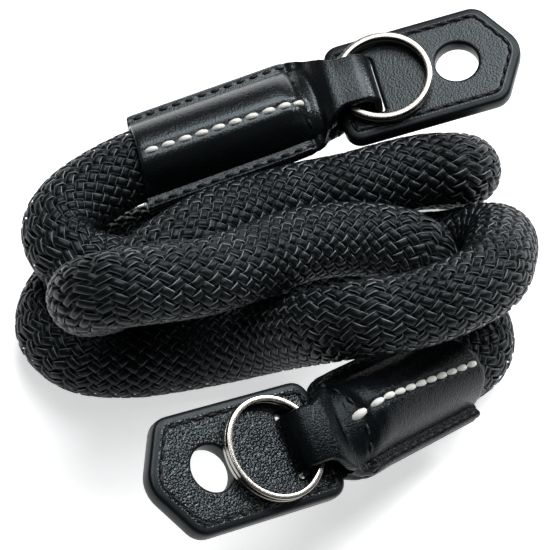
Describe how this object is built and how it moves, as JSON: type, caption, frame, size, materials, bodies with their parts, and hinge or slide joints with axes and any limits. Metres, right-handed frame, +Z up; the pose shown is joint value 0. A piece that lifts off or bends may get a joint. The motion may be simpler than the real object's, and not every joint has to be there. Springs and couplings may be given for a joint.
{
  "type": "coiled rope camera strap with leather ends and split rings",
  "caption": "Thick black braided rope strap, coiled and lying on a surface, with a stitched leather sleeve, a split ring and a slotted leather pad at each end",
  "frame": {"origin": "on the surface that the coil lies on, under the middle of the whole strap's bounding box", "axes": "+Z up from the surface; +X along the rope's passes, from the left bends to the right bends; +Y from the lower end towards the upper end"},
  "size_m": [0.0779, 0.0924, 0.0387],
  "materials": {
    "rope_braid": "tight two-over-two braid of glossy black cord",
    "black_leather": "fine grain with a soft sheen, edges painted black",
    "nickel": "bright plated spring wire"
  },
  "bodies": {
    "root": {"rope": "rope_braid", "upper_sleeve": "black_leather", "lower_sleeve": "black_leather", "upper_pad": "black_leather", "lower_pad": "black_leather", "upper_ring": "nickel", "lower_ring": "nickel"}
  },
  "joints": []
}
